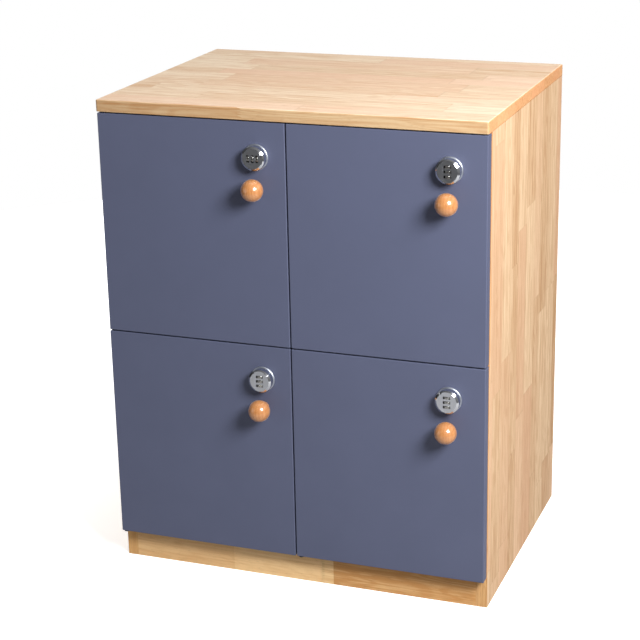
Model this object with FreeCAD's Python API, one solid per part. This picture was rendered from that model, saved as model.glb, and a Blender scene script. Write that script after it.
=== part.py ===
"""Four-door wooden locker with combination cam locks, in millimetres.

+X is to the right of the doors, +Y to the back and +Z up. The origin is the middle of the cabinet's
footprint, on the floor. The doors face -Y.
"""

import FreeCAD, Part
import math
import os

V = FreeCAD.Vector
X, Y, Z = V(1, 0, 0), V(0, 1, 0), V(0, 0, 1)

# Cabinet
WIDTH, DEPTH, HEIGHT = 600.0, 450.0, 750.0
BOARD = 18.0  # thickness of every solid wood board
BACK_BOARD = 9.0
PLINTH_HEIGHT = 50.0
SPLIT = 390.0  # height of the line between the lower and the upper doors
TOP_OVERHANG = 1.0  # how far the top board stands in front of the doors
TOP_CORNER = 3.0  # radius of the top board's front corners
TOP_RIM = 2.0  # rounding around the top board's upper face
ARRIS = 1.0  # rounding of the other outer edges of the boards

# Doors: they lie over the front edges of the carcass
DOOR_GAP = 2.0  # between two doors, and between a door and the top board
CARCASS_GAP = 1.5  # between a door's back and the carcass
DOOR_INSET = 1.0  # from the cabinet's side to the door's edge
DOOR_ARRIS = 1.2

HALF = WIDTH / 2
INNER = HALF - BOARD  # inside face of a side panel
TOP_UNDERSIDE = HEIGHT - BOARD
FRONT = -DEPTH / 2  # front edge of the top board
REAR = DEPTH / 2
DOOR_FRONT = FRONT + TOP_OVERHANG
DOOR_BACK = DOOR_FRONT + BOARD
CARCASS_FRONT = DOOR_BACK + CARCASS_GAP
INNER_REAR = REAR - BACK_BOARD
FLOOR_PANEL_TOP = PLINTH_HEIGHT + BOARD
DOOR_WIDTH = HALF - DOOR_INSET - DOOR_GAP / 2

# Joinery
DOWEL_RADIUS = 4.0
SHELF_DOWEL_RADIUS = 3.0
DOWEL_CHAMFER = 0.8
DOWEL_ROWS = (-150.0, 0.0, 150.0)  # where the dowels stand along the depth
SHELF_DOWEL_ROWS = (-130.0, 150.0)
DOWEL_IN_END, DOWEL_IN_FACE = 24.0, 11.0  # how deep a dowel stands in a board's end and in a board's face
SIDE_SHELF_DOWEL = (18.0, 11.0)  # the same in the shelf's end and in the side panel
PARTITION_SHELF_DOWEL = (8.0, 22.0)  # the same in the partition and in the shelf's end
PLINTH_DOWEL_HEIGHT = PLINTH_HEIGHT / 2

# Cranked pivot hinges: a lug in the gap carries a pin that stands in the door's edge
PIVOT_INSET = 6.0  # from the door's hinge edge to the pin
PIVOT_DEPTH = 5.0  # from the door's face to the pin
PIVOT_Y = DOOR_FRONT + PIVOT_DEPTH
LUG_THICKNESS = 1.5
LUG_RADIUS = 4.0
LUG_CLEARANCE = (DOOR_GAP - LUG_THICKNESS) / 2
FLANGE_WIDTH, FLANGE_THICKNESS = 14.0, 1.5
FLANGE_LENGTH = 36.0
PIN_RADIUS, PIN_LENGTH = 2.0, 10.0
BUSH_RADIUS, BUSH_LENGTH = 3.25, 12.0
BUSH_FLOOR = 1.0  # the closed end of a bush
BRACKET_SCREWS = {1: (12.0, 28.0), 0: (-12.0, 12.0), -1: (-28.0, -12.0)}  # from the lug's middle, by bracket
BRACKET_SCREW_LENGTH = 28.0
RUNNING_CLEARANCE = 0.08

# Wood screws
SCREW_RADIUS, SCREW_HEAD_RADIUS, SCREW_HEAD_DEPTH = 1.75, 3.4, 1.65
SCREW_POINT = 4.0
BACK_SCREW_LENGTH = 30.0
BACK_SCREW_HEIGHTS = (150.0, 300.0, 480.0, 630.0)  # into the partition
BACK_SCREW_SIDES = (-210.0, -80.0, 80.0, 210.0)  # into the bottom panel and the shelves

# Lock, measured from the door's face along its axis, towards the room
LOCK_FROM_PANEL = 37.0  # from the lock's axis to the panel that its cam catches on
LOCK_FROM_DOOR_TOP = 51.0
FLANGE_RING_RADIUS, FLANGE_RING = 19.5, 3.0
FLANGE_RING_BEVEL = 0.8
BARREL_RADIUS, BARREL_LENGTH = 9.5, 27.0
BARREL_HOLE_RADIUS = 9.75
SHANK_RADIUS = 6.0
HEAD_RADIUS, HEAD_FRONT = 18.0, 15.0
HEAD_NECK_RADIUS, HEAD_NECK = 16.6, 1.2
HEAD_BEVEL_OUT, HEAD_BEVEL_BACK = 3.0, 2.4
HEAD_GAP = 0.3
CHANNEL_WIDTH, CHANNEL_DEPTH = 14.8, 0.8
NUT_FLATS, NUT_THICKNESS = 24.0, 4.0
NUT_START = BOARD  # the nut bears on the door's back

# Number dials, three on a pin across the head
DIAL_RADIUS, DIAL_WIDTH, DIAL_PITCH = 5.2, 3.4, 7.1
DIAL_SLOT_RADIUS, DIAL_SLOT_WIDTH = 5.5, 4.0
DIAL_PIN_RADIUS = 0.9
DIAL_DEPTH = CHANNEL_DEPTH + 4.0  # from the head's face to the dials' axis
DIGITS = 10
DIAL_NOTCH_RADIUS = 0.55

# Cam
CAM_THICKNESS, CAM_WIDTH = 2.0, 14.0
CAM_REACH = 34.0
CAM_HUB_RADIUS = 9.0
CAM_SQUARE = 8.0
CAM_START = BARREL_LENGTH + 0.2
CAM_SCREW_RADIUS, CAM_SCREW_HEAD_RADIUS, CAM_SCREW_HEAD = 2.0, 5.5, 3.0
CAM_SCREW_LENGTH = 8.0

# Strike plates
STRIKE_THICKNESS = 2.0
STRIKE_REACH = 12.0
STRIKE_DEPTH = 4.5  # from the carcass's front plane to the strike's front
STRIKE_LENGTH, STRIKE_HEIGHT = 26.0, 24.0
STRIKE_SCREW_LENGTH = 14.0
STRIKE_SCREW_STEP, STRIKE_SCREW_SETBACK = 7.0, 4.0  # from the plate's middle, up or down, and to the back

# Knob
KNOB_BELOW_LOCK = 45.5
KNOB_RADIUS, KNOB_STAND = 16.5, 19.0
KNOB_FOOT_RADIUS, KNOB_NECK_RADIUS, KNOB_FOOT = 9.0, 7.2, 5.0
KNOB_SCREW_RADIUS, KNOB_SCREW_HEAD_RADIUS, KNOB_SCREW_HEAD = 2.0, 4.0, 2.4
KNOB_SCREW_GRIP = 14.0

# Bumpers
BUMPER_RADIUS, BUMPER_THICKNESS = 3.2, 1.2
BUMPER_FROM_DOOR_END = 60.0


def box(x0, x1, y0, y1, z0, z1):
    """A box between two corners."""
    return Part.makeBox(x1 - x0, y1 - y0, z1 - z0, V(x0, y0, z0))


def block(corner, first, second, third):
    """A block from one corner and the three edges that leave it."""
    points = [corner, corner + first, corner + first + second, corner + second]
    return Part.Face(Part.makePolygon(points + points[:1])).extrude(third)


def rod(start, direction, radius, length):
    """A round rod from a point along a direction."""
    return Part.makeCylinder(radius, length, start, direction)


def turned(outline, axis_point, direction):
    """Revolves (radius, distance) points about an axis that starts at a point and runs along a direction."""
    points = [V(radius, 0, along) for radius, along in outline]
    face = Part.Face(Part.makePolygon(points + points[:1]))
    solid = face.revolve(V(0, 0, 0), Z, 360)
    solid.Placement = FreeCAD.Placement(axis_point, FreeCAD.Rotation(Z, direction))
    return solid


def dowel(middle, direction, before, after, radius=DOWEL_RADIUS):
    """A dowel that reaches before the joint's middle and after it, with its ends chamfered."""
    outline = [
        (0, -before),
        (radius - DOWEL_CHAMFER, -before),
        (radius, -before + DOWEL_CHAMFER),
        (radius, after - DOWEL_CHAMFER),
        (radius - DOWEL_CHAMFER, after),
        (0, after),
    ]
    return turned(outline, middle, direction)


def wood_screw(head_centre, direction, length):
    """A countersunk screw. Its flat head's centre is given, and it drives along the direction."""
    outline = [
        (0, 0),
        (SCREW_HEAD_RADIUS, 0),
        (SCREW_RADIUS, SCREW_HEAD_DEPTH),
        (SCREW_RADIUS, length - SCREW_POINT),
        (0, length),
    ]
    return turned(outline, head_centre, direction)


def carcass_boards():
    """The plain boards, before any hole is made in them."""
    top = box(-HALF, HALF, FRONT, REAR, TOP_UNDERSIDE, HEIGHT)
    corners = [e for e in top.Edges if e.BoundBox.ZLength > 1 and e.BoundBox.YMax < 0]
    top = top.makeFillet(TOP_CORNER, corners)
    top = top.makeFillet(TOP_RIM, [e for e in top.Edges if e.BoundBox.ZMin > HEIGHT - ARRIS])
    top = top.makeFillet(ARRIS, [e for e in top.Edges if e.BoundBox.ZMax < TOP_UNDERSIDE + ARRIS])
    sides = {}
    for name, x in (("left_side_panel", -HALF), ("right_side_panel", INNER)):
        side = box(x, x + BOARD, CARCASS_FRONT, REAR, 0, TOP_UNDERSIDE)
        outer = [e for e in side.Edges if e.BoundBox.ZLength > BOARD and abs(e.CenterOfMass.x) > HALF - ARRIS]
        sides[name] = side.makeFillet(ARRIS, outer)
    shelf_low, shelf_high = SPLIT - BOARD / 2, SPLIT + BOARD / 2
    plinth_back = CARCASS_FRONT + BOARD
    rail_end = REAR - BOARD
    inner_y = (CARCASS_FRONT, INNER_REAR)
    return {
        "top_board": top,
        **sides,
        "centre_partition": box(-BOARD / 2, BOARD / 2, *inner_y, FLOOR_PANEL_TOP, TOP_UNDERSIDE),
        "bottom_panel": box(-INNER, INNER, *inner_y, PLINTH_HEIGHT, FLOOR_PANEL_TOP),
        "left_shelf": box(-INNER, -BOARD / 2, *inner_y, shelf_low, shelf_high),
        "right_shelf": box(BOARD / 2, INNER, *inner_y, shelf_low, shelf_high),
        "back_panel": box(-INNER, INNER, INNER_REAR, REAR, PLINTH_HEIGHT, TOP_UNDERSIDE),
        "front_plinth": box(-INNER, INNER, CARCASS_FRONT, plinth_back, 0, PLINTH_HEIGHT),
        "rear_plinth": box(-INNER, INNER, rail_end, REAR, 0, PLINTH_HEIGHT),
        "centre_plinth_rail": box(-BOARD / 2, BOARD / 2, plinth_back, rail_end, 0, PLINTH_HEIGHT),
    }


def carcass_dowels():
    """The dowels that hold the boards together."""
    dowels = []
    for y in DOWEL_ROWS:
        for x in (-HALF + BOARD / 2, 0, HALF - BOARD / 2):
            dowels.append(dowel(V(x, y, TOP_UNDERSIDE), Z, DOWEL_IN_END, DOWEL_IN_FACE))
        dowels.append(dowel(V(0, y, FLOOR_PANEL_TOP), Z, DOWEL_IN_FACE, DOWEL_IN_END))
        for side in (-1, 1):
            middle = V(side * INNER, y, PLINTH_HEIGHT + BOARD / 2)
            dowels.append(dowel(middle, X * side, DOWEL_IN_END, DOWEL_IN_FACE))
    for y in SHELF_DOWEL_ROWS:
        for side in (-1, 1):
            dowels.append(dowel(V(side * INNER, y, SPLIT), X * side, *SIDE_SHELF_DOWEL, SHELF_DOWEL_RADIUS))
            middle = V(side * BOARD / 2, y, SPLIT)
            dowels.append(dowel(middle, X * side, *PARTITION_SHELF_DOWEL, SHELF_DOWEL_RADIUS))
    for y in (CARCASS_FRONT + BOARD / 2, REAR - BOARD / 2):
        for side in (-1, 1):
            middle = V(side * INNER, y, PLINTH_DOWEL_HEIGHT)
            dowels.append(dowel(middle, X * side, DOWEL_IN_END, DOWEL_IN_FACE))
    dowels.append(dowel(V(0, CARCASS_FRONT + BOARD, PLINTH_DOWEL_HEIGHT), Y, DOWEL_IN_FACE, DOWEL_IN_END))
    dowels.append(dowel(V(0, REAR - BOARD, PLINTH_DOWEL_HEIGHT), Y, DOWEL_IN_END, DOWEL_IN_FACE))
    return dowels


def back_screws():
    """The screws that hold the back panel, with their heads flush with its rear."""
    heads = [(0, z) for z in BACK_SCREW_HEIGHTS]
    heads += [(x, z) for x in BACK_SCREW_SIDES for z in (PLINTH_HEIGHT + BOARD / 2, SPLIT)]
    return [wood_screw(V(x, REAR, z), -Y, BACK_SCREW_LENGTH) for x, z in heads]


def pivot_bracket(pin_x, flange_x, lug_bottom, end):
    """One cranked pivot bracket and its screws.

    end is 1 for the bracket under the lower door, 0 for the one between two doors and -1 for the one over
    the upper door: it says which way the flange runs from the lug. The pins point into the doors.
    """
    lug_top = lug_bottom + LUG_THICKNESS
    reach = {1: (0, FLANGE_LENGTH), 0: (-FLANGE_LENGTH / 2, FLANGE_LENGTH / 2), -1: (-FLANGE_LENGTH, 0)}[end]
    low = min(lug_bottom, lug_bottom + reach[0])
    high = max(lug_top, lug_top + reach[1])
    flange = box(
        flange_x - FLANGE_WIDTH / 2,
        flange_x + FLANGE_WIDTH / 2,
        CARCASS_FRONT,
        CARCASS_FRONT + FLANGE_THICKNESS,
        low,
        high,
    )
    lug = box(pin_x - LUG_RADIUS, pin_x + LUG_RADIUS, PIVOT_Y, CARCASS_FRONT, lug_bottom, lug_top)
    lug = lug.fuse(rod(V(pin_x, PIVOT_Y, lug_bottom), Z, LUG_RADIUS, LUG_THICKNESS))
    bracket = flange.fuse(lug)
    if end >= 0:
        bracket = bracket.fuse(rod(V(pin_x, PIVOT_Y, lug_bottom), Z, PIN_RADIUS, LUG_THICKNESS + PIN_LENGTH))
    if end <= 0:
        bracket = bracket.fuse(rod(V(pin_x, PIVOT_Y, lug_top), -Z, PIN_RADIUS, LUG_THICKNESS + PIN_LENGTH))
    lug_middle = V(flange_x, CARCASS_FRONT, lug_bottom + LUG_THICKNESS / 2)
    screws = [wood_screw(lug_middle + Z * spot, Y, BRACKET_SCREW_LENGTH) for spot in BRACKET_SCREWS[end]]
    mortise = flange.copy()
    for screw in screws:
        bracket = bracket.cut(screw)
    return bracket.removeSplitter(), screws, mortise


def pivot_brackets():
    """All six brackets, their screws and the mortises that let them into the carcass."""
    brackets, screws, mortises = [], [], []
    lugs = (
        (PLINTH_HEIGHT - LUG_CLEARANCE - LUG_THICKNESS, 1),
        (SPLIT - LUG_THICKNESS / 2, 0),
        (TOP_UNDERSIDE - LUG_CLEARANCE - LUG_THICKNESS, -1),
    )
    for hinge_edge, flange_x in ((-HALF + DOOR_INSET, -HALF + BOARD / 2), (DOOR_GAP / 2, DOOR_GAP / 2)):
        for lug_bottom, end in lugs:
            bracket, its_screws, mortise = pivot_bracket(hinge_edge + PIVOT_INSET, flange_x, lug_bottom, end)
            brackets.append(bracket)
            screws += its_screws
            mortises.append(mortise)
    return brackets, screws, mortises


def strike_plate(wall_x, lock_z):
    """The angle that a cam catches behind, on the left face of a wall, and its two screws."""
    front = CARCASS_FRONT + STRIKE_DEPTH
    low, high = lock_z - STRIKE_HEIGHT / 2, lock_z + STRIKE_HEIGHT / 2
    plate = box(wall_x - STRIKE_THICKNESS, wall_x, front, front + STRIKE_LENGTH, low, high)
    plate = plate.fuse(box(wall_x - STRIKE_REACH, wall_x, front, front + STRIKE_THICKNESS, low, high))
    screw_y = front + STRIKE_LENGTH / 2 + STRIKE_SCREW_SETBACK
    heads = [V(wall_x - STRIKE_THICKNESS, screw_y, lock_z + z) for z in (-STRIKE_SCREW_STEP, STRIKE_SCREW_STEP)]
    screws = [wood_screw(head, X, STRIKE_SCREW_LENGTH) for head in heads]
    for screw in screws:
        plate = plate.cut(screw)
    return plate.removeSplitter(), screws


def door_panel(left, low, high, lock, knob):
    """A door with its holes for the lock, the knob's screw and the two pivot bushes."""
    door = box(left, left + DOOR_WIDTH, DOOR_FRONT, DOOR_BACK, low, high)
    door = door.makeFillet(DOOR_ARRIS, door.Edges)
    door = door.cut(rod(V(lock.x, DOOR_FRONT, lock.z), Y, BARREL_HOLE_RADIUS, BOARD))
    door = door.cut(rod(V(knob.x, DOOR_FRONT, knob.z), Y, KNOB_SCREW_RADIUS, BOARD))
    pin_x = left + PIVOT_INSET
    door = door.cut(rod(V(pin_x, PIVOT_Y, low), Z, BUSH_RADIUS, BUSH_LENGTH))
    return door.cut(rod(V(pin_x, PIVOT_Y, high), -Z, BUSH_RADIUS, BUSH_LENGTH))


def pivot_bushes(left, low, high):
    """The two bushes that the bracket pins stand in."""
    pin_x = left + PIVOT_INSET
    bushes = []
    for z, direction in ((low, Z), (high, -Z)):
        start = V(pin_x, PIVOT_Y, z)
        bore = rod(start, direction, PIN_RADIUS + RUNNING_CLEARANCE, BUSH_LENGTH - BUSH_FLOOR)
        bushes.append(rod(start, direction, BUSH_RADIUS, BUSH_LENGTH).cut(bore))
    return bushes


def knob_ball(foot):
    """A ball on a short foot, with a blind hole for its screw. foot is the middle of its foot, on the door."""
    ball = Part.makeSphere(KNOB_RADIUS, foot - Y * KNOB_STAND)
    neck = Part.makeCone(KNOB_FOOT_RADIUS, KNOB_NECK_RADIUS, KNOB_FOOT, foot, -Y)
    knob = ball.fuse(neck).removeSplitter()
    return knob.cut(rod(foot, -Y, KNOB_SCREW_RADIUS, KNOB_SCREW_GRIP))


def knob_screw(foot):
    """The screw that comes through the door from behind and holds the knob."""
    back = foot + Y * BOARD
    shank = rod(back, -Y, KNOB_SCREW_RADIUS, BOARD + KNOB_SCREW_GRIP)
    return shank.fuse(rod(back, Y, KNOB_SCREW_HEAD_RADIUS, KNOB_SCREW_HEAD)).removeSplitter()


def lock_body(centre):
    """The lock's flange and threaded barrel, bored for the head's shank."""
    bore = SHANK_RADIUS + RUNNING_CLEARANCE
    outline = [
        (bore, -FLANGE_RING),
        (FLANGE_RING_RADIUS - FLANGE_RING_BEVEL, -FLANGE_RING),
        (FLANGE_RING_RADIUS, -FLANGE_RING + FLANGE_RING_BEVEL),
        (FLANGE_RING_RADIUS, 0),
        (BARREL_RADIUS, 0),
        (BARREL_RADIUS, BARREL_LENGTH),
        (bore, BARREL_LENGTH),
    ]
    return turned(outline, centre, Y)


def lock_nut(centre):
    """The hexagon nut on the barrel, against the door's back."""
    corner = NUT_FLATS / 2 / math.cos(math.pi / 6)
    angles = [math.radians(60 * i + 30) for i in range(6)]
    start = centre + Y * NUT_START
    points = [start + V(corner * math.cos(a), 0, corner * math.sin(a)) for a in angles]
    nut = Part.Face(Part.makePolygon(points + points[:1])).extrude(Y * NUT_THICKNESS)
    return nut.cut(rod(start, Y, BARREL_RADIUS, NUT_THICKNESS))


def dial_centres(centre, along):
    """The middles of the three dials, first to last against the direction that their pin runs along."""
    middle = centre - Y * (HEAD_FRONT - DIAL_DEPTH)
    return [middle + along * (DIAL_PITCH * step) for step in (1, 0, -1)]


def lock_head(centre, along):
    """The turning head with its shank. The dials' pin runs along the given direction, across the face."""
    rear = FLANGE_RING + HEAD_GAP
    outline = [
        (0, -HEAD_FRONT),
        (HEAD_RADIUS - HEAD_BEVEL_OUT, -HEAD_FRONT),
        (HEAD_RADIUS, -HEAD_FRONT + HEAD_BEVEL_BACK),
        (HEAD_RADIUS, -rear - HEAD_NECK),
        (HEAD_NECK_RADIUS, -rear - HEAD_NECK),
        (HEAD_NECK_RADIUS, -rear),
        (SHANK_RADIUS, -rear),
        (SHANK_RADIUS, CAM_START),
        (0, CAM_START),
    ]
    head = turned(outline, centre, Y)
    half = CAM_SQUARE / 2
    square = box(-half, half, 0, CAM_THICKNESS, -half, half).translated(centre + Y * CAM_START)
    head = head.fuse(square)
    across = along.cross(Y)
    face = centre - Y * HEAD_FRONT
    corner = face - across * (CHANNEL_WIDTH / 2) - along * HEAD_RADIUS
    head = head.cut(block(corner, across * CHANNEL_WIDTH, along * (2 * HEAD_RADIUS), Y * CHANNEL_DEPTH))
    for middle in dial_centres(centre, along):
        start = middle - along * (DIAL_SLOT_WIDTH / 2)
        corner = start - across * DIAL_SLOT_RADIUS
        window = block(corner, across * (2 * DIAL_SLOT_RADIUS), -Y * DIAL_DEPTH, along * DIAL_SLOT_WIDTH)
        slot = rod(start, along, DIAL_SLOT_RADIUS, DIAL_SLOT_WIDTH).fuse(window)
        head = head.cut(slot.cut(rod(start, along, DIAL_PIN_RADIUS, DIAL_SLOT_WIDTH)))
    end = centre + Y * (CAM_START + CAM_THICKNESS)
    return head.cut(rod(end, -Y, CAM_SCREW_RADIUS, CAM_SCREW_LENGTH))


def dial(middle, along):
    """A number dial with a notch between each two numbers."""
    start = middle - along * (DIAL_WIDTH / 2)
    wheel = rod(start, along, DIAL_RADIUS, DIAL_WIDTH)
    wheel = wheel.cut(rod(start, along, DIAL_PIN_RADIUS + RUNNING_CLEARANCE, DIAL_WIDTH))
    for step in range(DIGITS):
        turn = FreeCAD.Rotation(along, 360 / DIGITS * (step + 0.5))
        wheel = wheel.cut(rod(start + turn.multVec(-Y) * DIAL_RADIUS, along, DIAL_NOTCH_RADIUS, DIAL_WIDTH))
    return wheel


def lock_cam(centre):
    """The cam, which points up, and the screw that holds it on the shank."""
    start = centre + Y * CAM_START
    tip = start + Z * (CAM_REACH - CAM_WIDTH / 2)
    cam = rod(start, Y, CAM_HUB_RADIUS, CAM_THICKNESS)
    cam = cam.fuse(rod(tip, Y, CAM_WIDTH / 2, CAM_THICKNESS))
    half = CAM_WIDTH / 2
    cam = cam.fuse(box(start.x - half, start.x + half, start.y, start.y + CAM_THICKNESS, start.z, tip.z))
    square = CAM_SQUARE / 2
    cam = cam.removeSplitter().cut(
        box(start.x - square, start.x + square, start.y, start.y + CAM_THICKNESS, start.z - square, start.z + square)
    )
    back = start + Y * CAM_THICKNESS
    screw = rod(back, Y, CAM_SCREW_HEAD_RADIUS, CAM_SCREW_HEAD)
    return [cam, screw.fuse(rod(back, -Y, CAM_SCREW_RADIUS, CAM_SCREW_LENGTH)).removeSplitter()]


def door_places():
    """Name, left edge, bottom, top and latch wall of each door."""
    lower = (PLINTH_HEIGHT, SPLIT - DOOR_GAP / 2)
    upper = (SPLIT + DOOR_GAP / 2, TOP_UNDERSIDE - DOOR_GAP)
    left = (-HALF + DOOR_INSET, -BOARD / 2)
    right = (DOOR_GAP / 2, INNER)
    for row, (low, high) in (("upper", upper), ("lower", lower)):
        for column, (edge, wall) in (("left", left), ("right", right)):
            yield f"{row}_{column}", edge, low, high, wall


def make_locker():
    """All nodes by name, each a list of solids."""
    nodes = {name: [board] for name, board in carcass_boards().items()}
    dowels = carcass_dowels()
    brackets, screws, mortises = pivot_brackets()
    screws += back_screws()
    strikes, bumpers = [], []
    for name, edge, low, high, wall in door_places():
        lock = V(wall - LOCK_FROM_PANEL, DOOR_FRONT, high - LOCK_FROM_DOOR_TOP)
        knob = lock - Z * KNOB_BELOW_LOCK
        dial_pin = -X if name == "upper_left" else Z  # that head is a quarter turn round
        plate, its_screws = strike_plate(wall, lock.z)
        strikes.append(plate)
        screws += its_screws
        covered = edge + DOOR_WIDTH
        for z in (low + BUMPER_FROM_DOOR_END, high - BUMPER_FROM_DOOR_END):
            start = V((wall + covered) / 2, CARCASS_FRONT, z)
            bumpers.append(rod(start, -Y, BUMPER_RADIUS, BUMPER_THICKNESS))
        nodes[f"{name}_door_panel"] = [door_panel(edge, low, high, lock, knob)]
        nodes[f"{name}_pivot_bushes"] = pivot_bushes(edge, low, high)
        nodes[f"{name}_knob"] = [knob_ball(knob)]
        nodes[f"{name}_knob_screw"] = [knob_screw(knob)]
        nodes[f"{name}_lock_body"] = [lock_body(lock)]
        nodes[f"{name}_lock_nut"] = [lock_nut(lock)]
        nodes[f"{name}_lock_head"] = [lock_head(lock, dial_pin)]
        nodes[f"{name}_lock_cam"] = lock_cam(lock)
        for number, middle in enumerate(dial_centres(lock, dial_pin), start=1):
            nodes[f"{name}_dial_{number}"] = [dial(middle, dial_pin)]
    for name in carcass_boards():
        board = nodes[name][0]
        for cutter in mortises + dowels + screws:
            if board.BoundBox.intersect(cutter.BoundBox):
                board = board.cut(cutter)
        nodes[name] = [board]
    nodes["dowels"] = dowels
    nodes["pivot_brackets"] = brackets
    nodes["strike_plates"] = strikes
    nodes["carcass_screws"] = screws
    nodes["door_bumpers"] = bumpers
    return nodes


def solid_of(shape):
    """The one solid in a shape."""
    assert len(shape.Solids) == 1 and shape.isValid(), "a piece is not one valid solid"
    return shape.Solids[0]


def main():
    """Writes one STEP file per node."""
    os.makedirs("parts", exist_ok=True)
    for name, solids in make_locker().items():
        pieces = [solid_of(s) for s in solids]
        shape = pieces[0] if len(pieces) == 1 else Part.makeCompound(pieces)
        shape.exportStep(f"parts/{name}.step")


main()
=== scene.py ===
"""Looks of a four-door wooden locker with combination cam locks.

The cabinet is finger-jointed rubberwood under clear matt lacquer. Its overlay doors are sprayed a matt
blue-grey, and each carries a plated three-dial combination lock and a varnished ball knob.
Everything is in metres, in the cabinet's own frame: +X right, +Y back, +Z up, doors facing -Y.
"""

import logging
import math
from dataclasses import dataclass
from enum import Enum

import bmesh
import bpy
import numpy as np
from mathutils import Matrix, Vector


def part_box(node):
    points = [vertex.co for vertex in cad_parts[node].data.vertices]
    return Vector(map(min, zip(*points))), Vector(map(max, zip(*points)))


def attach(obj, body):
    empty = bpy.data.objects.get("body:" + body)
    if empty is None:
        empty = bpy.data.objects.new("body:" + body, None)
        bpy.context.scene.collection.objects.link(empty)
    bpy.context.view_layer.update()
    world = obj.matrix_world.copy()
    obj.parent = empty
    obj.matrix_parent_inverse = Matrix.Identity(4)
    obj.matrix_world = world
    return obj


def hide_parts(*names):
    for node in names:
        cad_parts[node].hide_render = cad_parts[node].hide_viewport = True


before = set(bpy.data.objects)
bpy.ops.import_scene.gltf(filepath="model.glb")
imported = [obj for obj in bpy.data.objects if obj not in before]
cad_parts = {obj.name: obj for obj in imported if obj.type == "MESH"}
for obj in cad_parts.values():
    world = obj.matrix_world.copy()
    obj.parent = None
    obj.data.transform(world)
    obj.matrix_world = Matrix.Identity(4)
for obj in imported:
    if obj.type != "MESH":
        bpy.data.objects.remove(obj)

MM = 0.001
BACK = np.array([0.0, 1.0, 0.0])
LOG = logging.getLogger("locker")


class Axis(Enum):
    """The three directions of the cabinet's frame, by their place in a point."""

    X = 0
    Y = 1
    Z = 2


class DoorPlace(Enum):
    """The four doors, by the start of their pieces' names."""

    UPPER_LEFT = "upper_left"
    UPPER_RIGHT = "upper_right"
    LOWER_LEFT = "lower_left"
    LOWER_RIGHT = "lower_right"


# ---- node and mesh helpers


def linear(colour: str) -> tuple[float, float, float, float]:
    """Turns an sRGB hex colour into linear light.

    Args:
        colour: Six hex digits after a hash sign.

    Returns:
        Red, green, blue and a full alpha.
    """
    parts = np.array([int(colour[i : i + 2], 16) for i in (1, 3, 5)]) / 255.0
    parts = np.where(parts <= 0.04045, parts / 12.92, ((parts + 0.055) / 1.055) ** 2.4)
    return (*[float(p) for p in parts], 1.0)


def feed(shader: bpy.types.Node, feeds: dict[str, bpy.types.NodeSocket]) -> None:
    """Links worked-out values to a shader's inputs.

    Args:
        shader: The shader.
        feeds: The value for each named input.
    """
    for key, value in feeds.items():
        shader.id_data.links.new(value, shader.inputs[key])


def add(
    tree: bpy.types.NodeTree, kind: str, feeds: dict, out: int | str = 0, **settings: object
) -> bpy.types.NodeSocket | None:
    """Adds one node with its settings and its links.

    Args:
        tree: The node tree.
        kind: The node's type without its ShaderNode prefix.
        feeds: A value or another node's output for each named or numbered input.
        out: Which output to hand back.
        **settings: The node's own settings.

    Returns:
        The chosen output, or none from a node that has none.
    """
    made = tree.nodes.new("ShaderNode" + kind)
    for key, value in settings.items():
        setattr(made, key, value)
    for key, value in feeds.items():
        if isinstance(value, bpy.types.NodeSocket):
            tree.links.new(value, made.inputs[key])
        else:
            made.inputs[key].default_value = value
    return made.outputs[out] if made.outputs else None


def surface(name: str, feeds: dict) -> tuple[bpy.types.Material, bpy.types.Node]:
    """Starts a material with one Principled shader.

    Args:
        name: The material's name.
        feeds: Values for the shader's own inputs.

    Returns:
        The material and its shader node.
    """
    material = bpy.data.materials.new(name)
    material.use_nodes = True
    material.node_tree.nodes.clear()
    shader = add(material.node_tree, "BsdfPrincipled", feeds)
    add(material.node_tree, "OutputMaterial", {"Surface": shader})
    return material, shader.node


@dataclass
class Patch:
    """A grid of points, which may close on itself along either of its two directions."""

    points: np.ndarray
    wrap_rows: bool = False
    wrap_columns: bool = True

    def faces(self, first: int) -> np.ndarray:
        """Works out the grid's quads as whole arrays of corner numbers.

        Args:
            first: The number of the grid's first point in the finished mesh.

        Returns:
            One row of four corner numbers for each quad.
        """
        rows, columns = self.points.shape[:2]
        number = first + np.arange(rows * columns).reshape(rows, columns)
        if self.wrap_rows:
            number = np.vstack([number, number[:1]])
        if self.wrap_columns:
            number = np.hstack([number, number[:, :1]])
        corners = (number[:-1, :-1], number[:-1, 1:], number[1:, 1:], number[1:, :-1])
        return np.stack([c.ravel() for c in corners], axis=1)


def piece(
    name: str, patches: list[Patch], finish: bpy.types.Material, sharp: float = 30.0
) -> bpy.types.Object:
    """Joins grids into one object at the origin, closes their poles and turns their faces outwards.

    Args:
        name: The piece's name.
        patches: The grids.
        finish: The piece's material.
        sharp: Edges that turn by more than this many degrees stay crisp.

    Returns:
        The new object.
    """
    counts = np.cumsum([0] + [p.points.shape[0] * p.points.shape[1] for p in patches])
    points = np.vstack([p.points.reshape(-1, 3) for p in patches])
    quads = np.vstack([p.faces(int(n)) for p, n in zip(patches, counts)])
    mesh = bpy.data.meshes.new(name)
    mesh.from_pydata(points.tolist(), [], quads.tolist())
    shell = bmesh.new()
    shell.from_mesh(mesh)
    bmesh.ops.remove_doubles(shell, verts=shell.verts, dist=2e-6)
    bmesh.ops.dissolve_degenerate(shell, edges=shell.edges, dist=1e-7)
    bmesh.ops.recalc_face_normals(shell, faces=shell.faces)
    shell.to_mesh(mesh)
    shell.free()
    mesh.shade_smooth()
    mesh.set_sharp_from_angle(angle=math.radians(sharp))
    mesh.materials.append(finish)
    made = bpy.data.objects.new(name, mesh)
    bpy.context.scene.collection.objects.link(made)
    return made


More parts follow.
